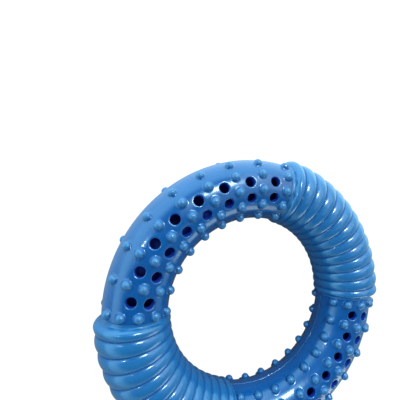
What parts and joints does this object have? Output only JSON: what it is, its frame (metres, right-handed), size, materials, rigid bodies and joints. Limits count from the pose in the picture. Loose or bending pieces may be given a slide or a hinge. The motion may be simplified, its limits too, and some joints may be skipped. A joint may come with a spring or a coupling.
{
  "type": "chew ring",
  "caption": "Hollow blue rubber chew ring with nubbed, pierced sections and ribbed grip sections, built from upper and lower half shells.",
  "frame": {"origin": "centre of the ring on the surface it rests on, under the rib crests", "axes": "+Z is the ring's axis, up from that surface; +X and -X point at the middles of the ribbed sections, +Y and -Y at the middles of the nubbed sections"},
  "size_m": [0.1314, 0.1262, 0.0294],
  "materials": {
    "nubbed_rubber": "glossy moulded",
    "ribbed_rubber": "glossy moulded"
  },
  "bodies": {
    "root": {"nubbed_upper_shell_1": "nubbed_rubber", "nubbed_lower_shell_1": "nubbed_rubber", "nubbed_upper_shell_2": "nubbed_rubber", "nubbed_lower_shell_2": "nubbed_rubber", "ribbed_upper_shell_1": "ribbed_rubber", "ribbed_lower_shell_1": "ribbed_rubber", "ribbed_upper_shell_2": "ribbed_rubber", "ribbed_lower_shell_2": "ribbed_rubber"}
  },
  "joints": []
}
